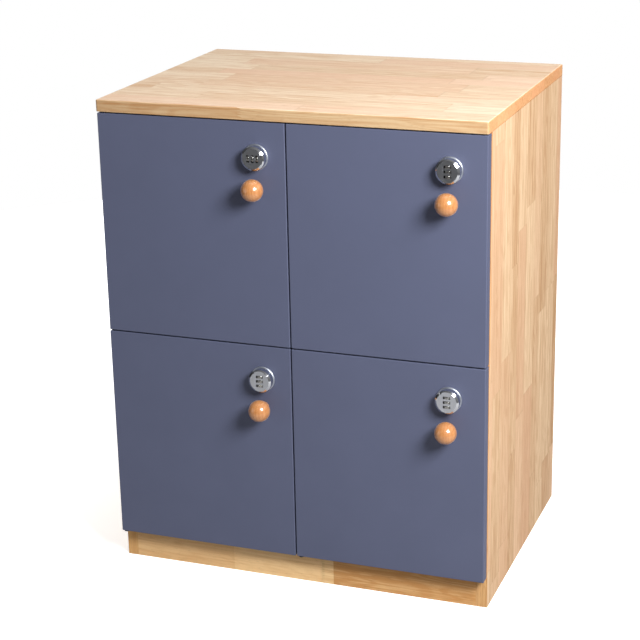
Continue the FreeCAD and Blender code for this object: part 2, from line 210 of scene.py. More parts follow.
def frame_of(direction: np.ndarray) -> np.ndarray:
    """Builds a square frame whose third row is the given unit direction.

    Args:
        direction: A unit vector.

    Returns:
        Three rows: two directions across it, then the direction itself.
    """
    helper = np.array([0.0, 0.0, 1.0]) if abs(direction[2]) < 0.9 else np.array([1.0, 0.0, 0.0])
    first = np.cross(helper, direction)
    first /= np.linalg.norm(first)
    return np.array([first, np.cross(direction, first), direction])


def turned(
    profile: np.ndarray,
    centre: np.ndarray,
    direction: np.ndarray,
    steps: int = 64,
    ripple: np.ndarray | None = None,
) -> Patch:
    """A profile carried round an axis: radius times (cos a, sin a) across the axis, distance along it.

    Args:
        profile: Rows of radius and distance along the axis, in metres.
        centre: Where the axis starts.
        direction: The axis's unit direction.
        steps: How many steps the full turn has.
        ripple: What is added to the radius, for each profile row and each step.

    Returns:
        The surface, closed round the axis.
    """
    angle = np.linspace(0.0, 2.0 * np.pi, steps, endpoint=False)[None, :, None]
    radius = np.repeat(profile[:, :1], steps, axis=1)
    if ripple is not None:
        radius = radius + ripple
    across = frame_of(direction)
    flat = radius[..., None] * (np.cos(angle) * across[0] + np.sin(angle) * across[1])
    return Patch(centre + flat + profile[:, 1][:, None, None] * across[2])


def rounded(corners: list[tuple[float, float]], radius: float, steps: int = 4) -> np.ndarray:
    """An open outline whose inner corners are rounded with a quadratic curve through the two cut-back points.

    Args:
        corners: The outline's corners.
        radius: How far each corner is cut back, at most a third of its shorter side.
        steps: How many points each rounding has, less one.

    Returns:
        The rounded outline.
    """
    points = np.array(corners, float)
    out = [points[:1]]
    part = np.linspace(0.0, 1.0, steps + 1)[:, None]
    for before, here, after in zip(points[:-2], points[1:-1], points[2:]):
        lengths = np.linalg.norm(before - here), np.linalg.norm(after - here)
        cut = min(radius, lengths[0] / 3, lengths[1] / 3)
        start = here + (before - here) / lengths[0] * cut
        end = here + (after - here) / lengths[1] * cut
        out.append((1 - part) ** 2 * start + 2 * part * (1 - part) * here + part**2 * end)
    out.append(points[-1:])
    return np.vstack(out)


# ---- finishes


@dataclass(frozen=True)
class FigureLayer:
    """One layer of a wood's figure: noise stretched along the grain, its levels cut to a range."""

    along: float
    across: float
    detail: float
    roughness: float
    low: float
    high: float
    most: float = 1.0

    def draw(
        self, tree: bpy.types.NodeTree, grain: bpy.types.NodeSocket, far: bpy.types.NodeSocket
    ) -> bpy.types.NodeSocket:
        """Draws the layer as noise at grain times its two scales plus far.

        Args:
            tree: The wood's node tree.
            grain: The place in mm: along the grain, across it and through the board.
            far: Each block's own place in the noise.

        Returns:
            How strong the layer is there.
        """
        scales = (self.along, self.across, self.across)
        at = add(tree, "VectorMath", {0: grain, 1: scales, 2: far}, operation="MULTIPLY_ADD")
        feeds = {"Vector": at, "Scale": 1.0, "Detail": self.detail, "Roughness": self.roughness}
        noise = add(tree, "TexNoise", feeds)
        return add(tree, "MapRange", {"Value": noise, 1: self.low, 2: self.high, 3: 0.0, 4: self.most})


# Fibres are about 1 mm wide and 60 mm long, streaks 3 mm by 200 mm and broad bands 7 mm by 400 mm
FIBRE = FigureLayer(0.016, 0.95, 3.0, 0.62, 0.3, 0.7)
STREAK = FigureLayer(0.005, 0.36, 2.0, 0.6, 0.42, 0.72)
BROAD = FigureLayer(0.0026, 0.14, 2.0, 0.5, 0.3, 0.7)
# Pores are 0.2 mm wide and 5 mm long on the real wood. They are drawn 0.6 mm wide and 9 mm long.
PORE = FigureLayer(0.11, 1.7, 1.0, 0.5, 0.64, 0.74)
# Mineral lines are rare, long and brown
MINERAL = FigureLayer(0.0034, 0.24, 3.0, 0.5, 0.67, 0.76, 0.55)


@dataclass(frozen=True)
class Rubberwood:
    """Finger-jointed rubberwood board, sanded and sealed with clear matt lacquer.

    It gives the eye straight staves cut from short blocks, each with its own cream, pink or tan tone,
    soft growth bands, fine lengthwise fibres with short dark pores, and comb-like joints on the edges.
    """

    name: str
    along: Axis
    across: Axis
    through: Axis
    seed: float
    pale: str = "#EFD2A9"
    deep: str = "#C58D55"
    blush: str = "#E3B08C"
    edge_tint_and_shade: str = "#F2DDBB"
    end_tint: str = "#E9C7A6"
    stave: float = 47.0
    block: float = 330.0
    contrast: float = 1.0
    steps: tuple[tuple[float, float], ...] = ()

    def make(self) -> bpy.types.Material:
        """Builds the wood from position: a stave number, then a block number, then its figure.

        Returns:
            The finished material.
        """
        made, shader = surface(self.name, {"IOR": 1.48, "Specular IOR Level": 0.12})
        tree = made.node_tree
        place = add(tree, "TexCoord", {}, "Object")
        normal = add(tree, "TexCoord", {}, "Normal")
        mm = add(tree, "VectorMath", {0: place, "Scale": 1000.0}, operation="SCALE")
        split = add(tree, "SeparateXYZ", {0: mm}).node.outputs
        u, v, w = split[self.along.value], split[self.across.value], split[self.through.value]
        grain = add(tree, "CombineXYZ", {0: u, 1: v, 2: w})

        # Stave number: widths run from about 37 to 60 mm
        phase = add(tree, "Math", {0: v, 1: 1 / 23.0, 2: self.seed}, operation="MULTIPLY_ADD")
        sway = add(tree, "Math", {0: phase}, operation="SINE")
        spread = add(tree, "Math", {0: sway, 1: 6.0, 2: v}, operation="MULTIPLY_ADD")
        lane = add(tree, "Math", {0: spread, 1: 1 / self.stave, 2: self.seed}, operation="MULTIPLY_ADD")
        stave = add(tree, "Math", {0: lane}, operation="FLOOR")
        in_stave = add(tree, "Math", {0: lane}, operation="FRACT")
        stave_key = add(tree, "Math", {0: stave, 1: self.seed * 7.31}, operation="ADD")
        stave_hash = add(tree, "TexWhiteNoise", {"W": stave_key}, noise_dimensions="1D")

        # Block number: the fingers are 4 mm apart through the board and 10 mm long
        start = add(tree, "Math", {0: stave_hash, 1: self.block, 2: u}, operation="MULTIPLY_ADD")
        slow = add(tree, "Math", {0: start, 1: 1 / 97.0}, operation="MULTIPLY")
        slow = add(tree, "Math", {0: slow}, operation="SINE")
        start = add(tree, "Math", {0: slow, 1: 36.0, 2: start}, operation="MULTIPLY_ADD")
        finger = add(tree, "Math", {0: w, 1: 2.0}, operation="PINGPONG")
        joint = add(tree, "Math", {0: finger, 1: 5.0, 2: start}, operation="MULTIPLY_ADD")
        run = add(tree, "Math", {0: joint, 1: 1 / self.block}, operation="MULTIPLY")
        block = add(tree, "Math", {0: run}, operation="FLOOR")
        in_block = add(tree, "Math", {0: run}, operation="FRACT")
        key = add(tree, "CombineXYZ", {0: stave, 1: block, 2: self.seed})
        tone_hash = add(tree, "TexWhiteNoise", {"Vector": key}, noise_dimensions="3D")
        colour_hash = tone_hash.node.outputs["Color"]
        dice = add(tree, "SeparateXYZ", {0: colour_hash}).node.outputs

        # Growth bands: distance from a pith that lies beside the block, a little out of line with it
        far = add(tree, "VectorMath", {0: colour_hash, "Scale": 400.0}, operation="SCALE")
        slow_at = add(tree, "VectorMath", {0: grain, 1: (0.0045, 0.028, 0.028), 2: far},
                      operation="MULTIPLY_ADD")
        drift = add(tree, "TexNoise", {"Vector": slow_at, "Scale": 1.0, "Detail": 2.0}, "Color")
        drift = add(tree, "VectorMath", {0: drift, 1: (0.5, 0.5, 0.5)}, operation="SUBTRACT")
        flat = add(tree, "VectorMath", {0: grain, 1: (0.0, 1.0, 1.0)}, operation="MULTIPLY")
        pith = add(tree, "VectorMath", {0: colour_hash, 1: (0.0, 150.0, 60.0), 2: (0.0, -75.0, 12.0)},
                   operation="MULTIPLY_ADD")
        radial = add(tree, "VectorMath", {0: drift, 1: (0.0, 95.0, 95.0), 2: flat}, operation="MULTIPLY_ADD")
        radial = add(tree, "VectorMath", {0: radial, 1: pith}, operation="ADD")
        from_pith = add(tree, "VectorMath", {0: radial}, "Value", operation="LENGTH")
        ring = add(tree, "Math", {0: from_pith, 1: 0.72}, operation="MULTIPLY")
        ring = add(tree, "Math", {0: ring}, operation="SINE")
        ring = add(tree, "MapRange", {"Value": ring, 1: -0.7, 2: 1.0, 3: 0.0, 4: 1.0},
                   interpolation_type="SMOOTHSTEP")

        layers = (FIBRE, STREAK, BROAD, PORE, MINERAL)
        fibre, streak, broad, pore, line = (layer.draw(tree, grain, far) for layer in layers)

        # Tone from all of them, 0 pale to 1 deep
        tone = add(tree, "Math", {0: tone_hash, 1: 0.26 * self.contrast}, operation="MULTIPLY")
        for part, share in ((ring, 0.14), (fibre, 0.26), (streak, 0.34), (broad, 0.16)):
            tone = add(tree, "Math", {0: part, 1: share * self.contrast, 2: tone}, operation="MULTIPLY_ADD")
        # Steps add tone past given places along the grain; a board that uses them to darken one end gets
        # painted shade there.
        for where, change in self.steps:
            past = add(tree, "Math", {0: u, 1: where}, operation="GREATER_THAN")
            tone = add(tree, "Math", {0: past, 1: change, 2: tone}, operation="MULTIPLY_ADD")
        tone = add(tree, "Math", {0: tone, 1: -0.16 * self.contrast}, operation="ADD")
        tone = add(tree, "Math", {0: line, 1: tone}, operation="ADD", use_clamp=True)
        body = add(tree, "Mix", {0: tone, 6: linear(self.pale), 7: linear(self.deep)}, 2, data_type="RGBA")
        pink = add(tree, "MapRange", {"Value": dice[1], 1: 0.45, 2: 1.0, 3: 0.0, 4: 0.6})
        body = add(tree, "Mix", {0: pink, 6: body, 7: linear(self.blush)}, 2, data_type="RGBA")

        # The ends of the board take the lacquer darker than its faces. The edges that face across the board
        # are darkened by their facing as well, which is partly painted shade; the top board's front edge is
        # set darker than its lit top this way.
        facing = add(tree, "VectorMath", {0: normal}, operation="ABSOLUTE")
        sides = add(tree, "SeparateXYZ", {0: facing}).node.outputs
        for axis, tint in ((self.along, self.end_tint), (self.across, self.edge_tint_and_shade)):
            faces = add(tree, "MapRange", {"Value": sides[axis.value], 1: 0.6, 2: 0.8, 3: 0.0, 4: 1.0})
            body = add(tree, "Mix", {0: faces, 6: body, 7: linear(tint)}, 2, data_type="RGBA",
                       blend_type="MULTIPLY")

        # Glue lines 0.5 mm wide between staves and at the blocks' ends
        seam = add(tree, "Math", {0: in_stave, 1: 0.5}, operation="PINGPONG")
        seam = add(tree, "MapRange", {"Value": seam, 1: 0.0, 2: 0.014, 3: 0.12, 4: 0.0})
        butt = add(tree, "Math", {0: in_block, 1: 0.5}, operation="PINGPONG")
        butt = add(tree, "MapRange", {"Value": butt, 1: 0.0, 2: 0.0035, 3: 0.14, 4: 0.0})
        glue = add(tree, "Math", {0: seam, 1: butt}, operation="MAXIMUM")
        dark = add(tree, "Math", {0: pore, 1: 0.3, 2: glue}, operation="MULTIPLY_ADD", use_clamp=True)
        body = add(tree, "Mix", {0: dark, 6: body, 7: linear("#6E4526")}, 2, data_type="RGBA")

        rough = add(tree, "MapRange", {"Value": fibre, 1: 0.0, 2: 1.0, 3: 0.5, 4: 0.64})
        height = add(tree, "Math", {0: dark, 1: -0.8, 2: fibre}, operation="MULTIPLY_ADD")
        bump = add(tree, "Bump", {"Strength": 0.35, "Distance": 0.12 * MM, "Height": height})
        feed(shader, {"Base Color": body, "Roughness": rough, "Normal": bump})
        return made


@dataclass(frozen=True)
class BackPlywood:
    """Rotary-cut plywood, sanded and sealed. It gives the eye one wide, wavy figure."""

    name: str = "sealed_plywood"
    pale: str = "#EAD3B0"
    deep: str = "#CBA478"

    def make(self) -> bpy.types.Material:
        """Draws peeled growth bands up the sheet, about 25 mm apart, and fine fibres along them.

        Returns:
            The finished material.
        """
        made, shader = surface(self.name, {"IOR": 1.5, "Roughness": 0.5})
        tree = made.node_tree
        place = add(tree, "TexCoord", {}, "Object")
        slow = add(tree, "Mapping", {"Vector": place, "Scale": (6.0, 1.0, 1.1)})
        drift = add(tree, "TexNoise", {"Vector": slow, "Scale": 1.0, "Detail": 2.0, "Distortion": 0.3})
        band = add(tree, "Math", {0: drift, 1: 46.0}, operation="MULTIPLY")
        band = add(tree, "Math", {0: band}, operation="SINE")
        thin = add(tree, "Mapping", {"Vector": place, "Scale": (900.0, 900.0, 14.0)})
        fibre = add(tree, "TexNoise", {"Vector": thin, "Scale": 1.0, "Detail": 3.0})
        tone = add(tree, "Math", {0: band, 1: 0.2, 2: fibre}, operation="MULTIPLY_ADD")
        tone = add(tree, "MapRange", {"Value": tone, 1: 0.2, 2: 0.95, 3: 0.0, 4: 1.0})
        body = add(tree, "Mix", {0: tone, 6: linear(self.pale), 7: linear(self.deep)}, 2, data_type="RGBA")
        bump = add(tree, "Bump", {"Strength": 0.3, "Distance": 0.1 * MM, "Height": fibre})
        feed(shader, {"Base Color": body, "Normal": bump})
        return made


@dataclass(frozen=True)
class SprayedPaint:
    """Matt polyurethane paint, sprayed on board. It gives the eye an even blue-grey with a very fine peel."""

    name: str = "sprayed_matt_paint"
    colour: str = "#555A72"
    shade: str = "#4F546B"

    def make(self) -> bpy.types.Material:
        """Clouds the colour over about 80 mm and roughens the coat every 2.5 mm.

        Returns:
            The finished material.
        """
        made, shader = surface(self.name, {"IOR": 1.46, "Roughness": 0.55})
        tree = made.node_tree
        place = add(tree, "TexCoord", {}, "Object")
        cloud = add(tree, "TexNoise", {"Vector": place, "Scale": 12.0, "Detail": 3.0})
        tones = {0: cloud, 6: linear(self.colour), 7: linear(self.shade)}
        body = add(tree, "Mix", tones, 2, data_type="RGBA")
        peel = add(tree, "TexNoise", {"Vector": place, "Scale": 400.0, "Detail": 1.0})
        rough = add(tree, "MapRange", {"Value": cloud, 1: 0.3, 2: 0.7, 3: 0.5, 4: 0.6})
        bump = add(tree, "Bump", {"Strength": 0.16, "Distance": 0.1 * MM, "Height": peel})
        feed(shader, {"Base Color": body, "Roughness": rough, "Normal": bump})
        return made


@dataclass(frozen=True)
class VarnishedKnobWood:
    """Turned hardwood under thick clear varnish. It gives the eye deep orange grain below a wet gloss."""

    name: str = "varnished_turned_wood"
    pale: str = "#C98F5A"
    deep: str = "#9C5A28"

    def make(self) -> bpy.types.Material:
        """Draws growth bands about 3 mm apart across the ball and fibres about 0.6 mm wide up it.

        Returns:
            The finished material.
        """
        made, shader = surface(
            self.name,
            {"IOR": 1.5, "Roughness": 0.3, "Coat Weight": 1.0, "Coat Roughness": 0.06, "Coat IOR": 1.52,
             "Sheen Weight": 0.3, "Sheen Roughness": 0.3, "Sheen Tint": linear("#FFE6D2")},
        )
        tree = made.node_tree
        place = add(tree, "TexCoord", {}, "Object")
        slow = add(tree, "Mapping", {"Vector": place, "Scale": (60.0, 60.0, 18.0)})
        drift = add(tree, "TexNoise", {"Vector": slow, "Scale": 1.0, "Detail": 2.0})
        split = add(tree, "SeparateXYZ", {0: place}).node.outputs
        band = add(tree, "Math", {0: drift, 1: 9.0}, operation="MULTIPLY")
        band = add(tree, "Math", {0: split[0], 1: 1500.0, 2: band}, operation="MULTIPLY_ADD")
        band = add(tree, "Math", {0: band}, operation="SINE")
        thin = add(tree, "Mapping", {"Vector": place, "Scale": (1700.0, 1700.0, 70.0)})
        fibre = add(tree, "TexNoise", {"Vector": thin, "Scale": 1.0, "Detail": 3.0})
        tone = add(tree, "Math", {0: band, 1: 0.06, 2: fibre}, operation="MULTIPLY_ADD")
        tone = add(tree, "MapRange", {"Value": tone, 1: 0.25, 2: 0.8, 3: 0.0, 4: 0.9})
        body = add(tree, "Mix", {0: tone, 6: linear(self.pale), 7: linear(self.deep)}, 2, data_type="RGBA")
        bump = add(tree, "Bump", {"Strength": 0.2, "Distance": 0.05 * MM, "Height": fibre})
        feed(shader, {"Base Color": body, "Normal": bump})
        return made


@dataclass(frozen=True)
class Plate:
    """Plated or blackened metal. It gives the eye mirror or satin reflections with faint handling marks."""

    name: str
    colour: str
    roughness: float
    grit: float = 900.0
    marks: float = 0.05

    def make(self) -> bpy.types.Material:
        """Varies the polish over a few millimetres and adds buffing grit, one over grit metres across.

        Returns:
            The finished material.
        """
        made, shader = surface(self.name, {"Metallic": 1.0, "Base Color": linear(self.colour)})
        tree = made.node_tree
        place = add(tree, "TexCoord", {}, "Object")
        worn = add(tree, "TexNoise", {"Vector": place, "Scale": self.grit / 6, "Detail": 3.0})
        fine = add(tree, "TexNoise", {"Vector": place, "Scale": self.grit, "Detail": 2.0})
        low, high = max(0.02, self.roughness - self.marks), self.roughness + self.marks
        rough = add(tree, "MapRange", {"Value": worn, 1: 0.3, 2: 0.7, 3: low, 4: high})
        strength = 0.05 + self.roughness * 0.3
        bump = add(tree, "Bump", {"Strength": strength, "Distance": 0.02 * MM, "Height": fine})
        feed(shader, {"Roughness": rough, "Normal": bump})
        return made


@dataclass(frozen=True)
class LockHeadPlate:
    """Chrome-plated zinc die casting: a satin face, a polished rim, and dial windows whose recessed walls are
    painted near black as shade.
    """

    centre: tuple[float, float, float]
    name: str = "chrome_plated_die_casting"
    colour: str = "#DADCE2"
    window_shade: str = "#101012"
    window_reach: float = 12.5 * MM
    channel: float = 0.85 * MM

    def make(self) -> bpy.types.Material:
        """Chooses the finish by depth behind the face's centre, reach from it and the way the metal faces.

        Returns:
            The finished material.
        """
        made, shader = surface(self.name, {"Metallic": 1.0})
        tree = made.node_tree
        place = add(tree, "TexCoord", {}, "Object")
        normal = add(tree, "TexCoord", {}, "Normal")
        inward = add(tree, "VectorMath", {0: place, 1: self.centre}, operation="SUBTRACT")
        depth = add(tree, "SeparateXYZ", {0: inward}, 1)
        flat = add(tree, "VectorMath", {0: inward, 1: (1.0, 0.0, 1.0)}, operation="MULTIPLY")
        reach = add(tree, "VectorMath", {0: flat}, "Value", operation="LENGTH")
        ahead = add(tree, "SeparateXYZ", {0: normal}, 1)
        level = add(tree, "MapRange", {"Value": ahead, 1: -0.98, 2: -0.9, 3: 1.0, 4: 0.0})
        near = add(tree, "Math", {0: depth, 1: self.channel}, operation="LESS_THAN")
        satin = add(tree, "Math", {0: level, 1: near}, operation="MULTIPLY")
        # Everything recessed behind the channel floor within the windows' reach is coloured near black:
        # painted shade in the dial windows.
        deep = add(tree, "Math", {0: depth, 1: self.channel}, operation="GREATER_THAN")
        inner = add(tree, "Math", {0: reach, 1: self.window_reach}, operation="LESS_THAN")
        black = add(tree, "Math", {0: deep, 1: inner}, operation="MULTIPLY")
        fine = add(tree, "TexNoise", {"Vector": place, "Scale": 2600.0, "Detail": 2.0})
        rough = add(tree, "MapRange", {"Value": satin, 1: 0.0, 2: 1.0, 3: 0.1, 4: 0.3})
        rough = add(tree, "Math", {0: black, 1: 0.4, 2: rough}, operation="MULTIPLY_ADD")
        body = add(tree, "Mix", {0: black, 6: linear(self.colour), 7: linear(self.window_shade)}, 2,
                   data_type="RGBA")
        bump = add(tree, "Bump", {"Strength": 0.12, "Distance": 0.02 * MM, "Height": fine})
        feed(shader, {"Base Color": body, "Roughness": rough, "Normal": bump})
        return made


@dataclass(frozen=True)
class MouldedPlastic:
    """Injection-moulded plastic or silicone. It gives the eye a soft even sheen with a fine moulded grain."""

    name: str
    colour: str
    roughness: float
    clear: float = 0.0

    def make(self) -> bpy.types.Material:
        """Adds a moulded grain about 0.3 mm across.

        Returns:
            The finished material.
        """
        made, shader = surface(
            self.name,
            {"Base Color": linear(self.colour), "IOR": 1.49, "Roughness": self.roughness,
             "Transmission Weight": self.clear},
        )
        tree = made.node_tree
        place = add(tree, "TexCoord", {}, "Object")
        fine = add(tree, "TexNoise", {"Vector": place, "Scale": 3000.0, "Detail": 2.0})
        bump = add(tree, "Bump", {"Strength": 0.15, "Distance": 0.03 * MM, "Height": fine})
        feed(shader, {"Normal": bump})
        return made


# ---- sub-assemblies


def coat(node: str, finish: bpy.types.Material) -> None:
    """Gives a CAD node's every material slot one finish.

    Args:
        node: The node's name.
        finish: Its new material.
    """
    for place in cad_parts[node].material_slots:
        place.material = finish
    LOG.info("%s: %s", node, finish.name)


def fit(made: bpy.types.Object, body: str, slot: str, *nodes: str) -> None:
    """Puts a new piece on its body and stands it in for CAD nodes.

    Args:
        made: The new piece.
        body: The body that it rides on.
        slot: Not used.
        *nodes: The CAD nodes that it stands for.
    """
    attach(made, body)
    if nodes:
        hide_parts(*nodes)
    LOG.info("%s: %d faces on %s", made.name, len(made.data.polygons), body)


@dataclass(frozen=True)
class Finishes:
    """The finishes that several sub-assemblies share."""

    paint: bpy.types.Material
    knob: bpy.types.Material
    zinc: bpy.types.Material
    nickel: bpy.types.Material
    enamel: bpy.types.Material
    chrome: bpy.types.Material
    black: bpy.types.Material
    nylon: bpy.types.Material
    silicone: bpy.types.Material


@dataclass(frozen=True)
class CrossScrew:
    """A screw with a cross recess in its head."""

    head: float
    depth: float
    shank: float
    length: float
    recess: float = 1.6 * MM
    arm: float = 0.55 * MM

    def patches(self, place: np.ndarray, drive: np.ndarray) -> list[Patch]:
        """Makes the head and the body.

        The face is flat less the recess, which falls smoothly to its depth where the nearer of the two
        cross arms is closer than its half width.

        Args:
            place: The middle of the head's outer face.
            drive: The unit direction that the screw drives in.

        Returns:
            The head's face and the turned body below it.
        """
        part = np.concatenate([np.linspace(0.0, 0.62, 12), np.linspace(0.7, 1.0, 5)])[:, None]
        angle = np.linspace(0.0, 2.0 * np.pi, 48, endpoint=False)[None, :]
        one, two = part * self.head * np.cos(angle), part * self.head * np.sin(angle)
        near = np.clip((self.arm - np.minimum(abs(one), abs(two))) / (0.4 * self.arm) + 0.5, 0.0, 1.0)
        inside = np.clip((0.6 - part) / 0.12, 0.0, 1.0) * near
        sunk = self.recess * inside * (1.0 - 0.5 * part)
        across = frame_of(drive)
        top = place + one[..., None] * across[0] + two[..., None] * across[1] + sunk[..., None] * drive
        body = [(self.head, 0.0), (self.shank, self.depth), (self.shank, self.length - 2 * self.shank),
                (0.0, self.length)]
        return [Patch(top), turned(np.array(body), place, drive, 48)]


@dataclass
class Carcass:
    """The wooden box: its boards keep their shape and take their grain and finish here."""

    shared: Finishes
    body: str = "carcass"
    flange_x: tuple[float, ...] = (-0.291, 0.001)
    hinge_screw_z: tuple[float, ...] = (0.061, 0.077, 0.378, 0.402, 0.703, 0.719)
    back_screw_xz: tuple[tuple[float, float], ...] = (
        (0.0, 0.15), (0.0, 0.3), (0.0, 0.48), (0.0, 0.63), (-0.21, 0.059), (-0.21, 0.39), (-0.08, 0.059),
        (-0.08, 0.39), (0.08, 0.059), (0.08, 0.39), (0.21, 0.059), (0.21, 0.39),
    )
    strike: float = 2 * MM
    strike_screw_y: float = -0.183
    strike_screw_step: float = 0.007
    bumper_radius: float = 3.2 * MM
    bumper_x: tuple[float, ...] = (-0.005, 0.2905)
    bumper_from_end: float = 0.06

    def dress(self) -> None:
        """Gives each board its own wood, with the grain along the board."""
        x, y, z = Axis.X, Axis.Y, Axis.Z
        woods = {
            # The top board's darker edge tint is painted shade on its front edge.
            "top_board": Rubberwood(
                "rubberwood_top", x, y, z, 3.7, pale="#F3E1C8", deep="#CFA680", block=360.0, blush="#E6BFA4",
                edge_tint_and_shade="#D6CAB4", contrast=1.45),
            "left_side_panel": Rubberwood("rubberwood_left_side", z, y, x, 5.3, block=420.0),
            # The right side panel's darker pale, deep and blush colours are painted shade, dimming the face
            # that the key light lights most.
            "right_side_panel": Rubberwood(
                "rubberwood_right_side_shaded", z, y, x, 8.9, pale="#E0C3A0", deep="#AF845C", blush="#D2A888",
                block=330.0, contrast=1.5),
            "centre_partition": Rubberwood("rubberwood_partition", z, y, x, 11.2, block=400.0),
            "bottom_panel": Rubberwood("rubberwood_floor", x, y, z, 14.6),
            "left_shelf": Rubberwood("rubberwood_left_shelf", x, y, z, 17.1),
            "right_shelf": Rubberwood("rubberwood_right_shelf", x, y, z, 19.8),
            # The front plinth's steps give its blocks their own tones, and the deepest step, over its right
            # end, is painted shade there.
            "front_plinth": Rubberwood(
                "rubberwood_front_plinth", x, z, y, 22.4, pale="#F8D9A4", deep="#B67D42", blush="#E6BA86",
                stave=140.0, block=900.0, contrast=1.3, steps=((-282.0, 0.25), (-113.0, -0.35), (54.0, 0.6))),
            "rear_plinth": Rubberwood("rubberwood_rear_plinth", x, z, y, 25.7, stave=80.0),
            "centre_plinth_rail": Rubberwood("rubberwood_rail", y, z, x, 28.3, stave=80.0),
        }
        for node, wood in woods.items():
            coat(node, wood.make())
        coat("back_panel", BackPlywood().make())
        coat("dowels", Rubberwood("beech_dowels", x, z, y, 31.9, blush="#D9AE84").make())
        coat("pivot_brackets", self.shared.black)
        coat("strike_plates", self.shared.zinc)

    def screws(self) -> None:
        """Drives the bracket, back and strike screws, whose heads are flush with what they hold."""
        long = CrossScrew(3.4 * MM, 1.65 * MM, 1.75 * MM, 28 * MM)
        short = CrossScrew(3.4 * MM, 1.65 * MM, 1.75 * MM, 14 * MM)
        front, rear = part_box("left_side_panel")[0].y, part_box("back_panel")[1].y
        right = np.array([1.0, 0.0, 0.0])
        parts = [p for x in self.flange_x for z in self.hinge_screw_z
                 for p in long.patches(np.array([x, front, z]), BACK)]
        parts += [p for x, z in self.back_screw_xz for p in long.patches(np.array([x, rear, z]), -BACK)]
        for door in DoorPlace:
            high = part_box(f"{door.value}_lock_nut")
            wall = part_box("centre_partition" if "left" in door.value else "right_side_panel")[0].x
            middle = (high[0].z + high[1].z) / 2
            for step in (-self.strike_screw_step, self.strike_screw_step):
                place = np.array([wall - self.strike, self.strike_screw_y, middle + step])
                parts += short.patches(place, right)
        made = piece("carcass_screw_set", parts, self.shared.zinc)
        fit(made, self.body, "zinc_steel", "carcass_screws")

    def bumpers(self) -> None:
        """Sticks the clear bumpers on: height is a flattened half ellipse of the radius."""
        low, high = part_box("door_bumpers")
        turn = np.linspace(0.0, np.pi / 2, 8)
        radius = np.sin(turn) ** 0.6 * self.bumper_radius
        height = np.cos(turn) ** 0.8 * (high.y - low.y)
        profile = np.vstack([np.stack([radius, height], axis=1), [(0.0, 0.0)]])
        parts = []
        for door in DoorPlace:
            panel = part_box(f"{door.value}_door_panel")
            x = self.bumper_x[0] if "left" in door.value else self.bumper_x[1]
            for z in (panel[0].z + self.bumper_from_end, panel[1].z - self.bumper_from_end):
                parts.append(turned(profile, np.array([x, high.y, z]), -BACK, 28))
        fit(piece("clear_bumpers", parts, self.shared.silicone, 60.0), self.body, "bumper", "door_bumpers")


@dataclass
class BallKnob:
    """A turned ball on a short foot, held by a pan-head screw from behind the door."""

    door: DoorPlace
    shared: Finishes
    foot: float = 9.0 * MM
    neck: float = 7.2 * MM

    def build(self) -> None:
        """Turns the knob: a foot that narrows, then a circle of the ball's radius up to its pole."""
        body = f"{self.door.value}_door"
        low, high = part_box(f"{self.door.value}_knob")
        place = np.array([(low.x + high.x) / 2, high.y, (low.z + high.z) / 2])
        radius = (high.x - low.x) / 2
        turn = np.linspace(math.pi - math.asin(self.neck / radius), 0.0, 40)
        ball = np.stack([radius * np.sin(turn), high.y - low.y - radius + radius * np.cos(turn)], axis=1)
        foot = rounded([(0.0, 0.0), (self.foot, 0.0), (self.neck, ball[0, 1] * 0.9)], 0.6 * MM)
        profile = np.vstack([foot, ball])
        made = piece(f"{self.door.value}_ball", [turned(profile, place, -BACK, 80)],
                     self.shared.knob, 50.0)
        fit(made, body, "varnished_wood", f"{self.door.value}_knob")
        screw = CrossScrew(4.0 * MM, 2.4 * MM, 1.95 * MM, 34.0 * MM, recess=1.3 * MM, arm=0.6 * MM)
        low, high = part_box(f"{self.door.value}_knob_screw")
        start = np.array([(low.x + high.x) / 2, high.y, (low.z + high.z) / 2])
        parts = screw.patches(start, -BACK)
        outline = rounded([(screw.head, 0.0), (screw.head, screw.depth), (screw.shank, screw.depth),
                           (screw.shank, screw.length - MM)], 0.3 * MM)
        parts[1] = turned(np.vstack([outline, [(0.0, high.y - low.y)]]), start, -BACK, 48)
        made = piece(f"{self.door.value}_pan_head_screw", parts, self.shared.zinc)
        fit(made, body, "zinc_steel", f"{self.door.value}_knob_screw")


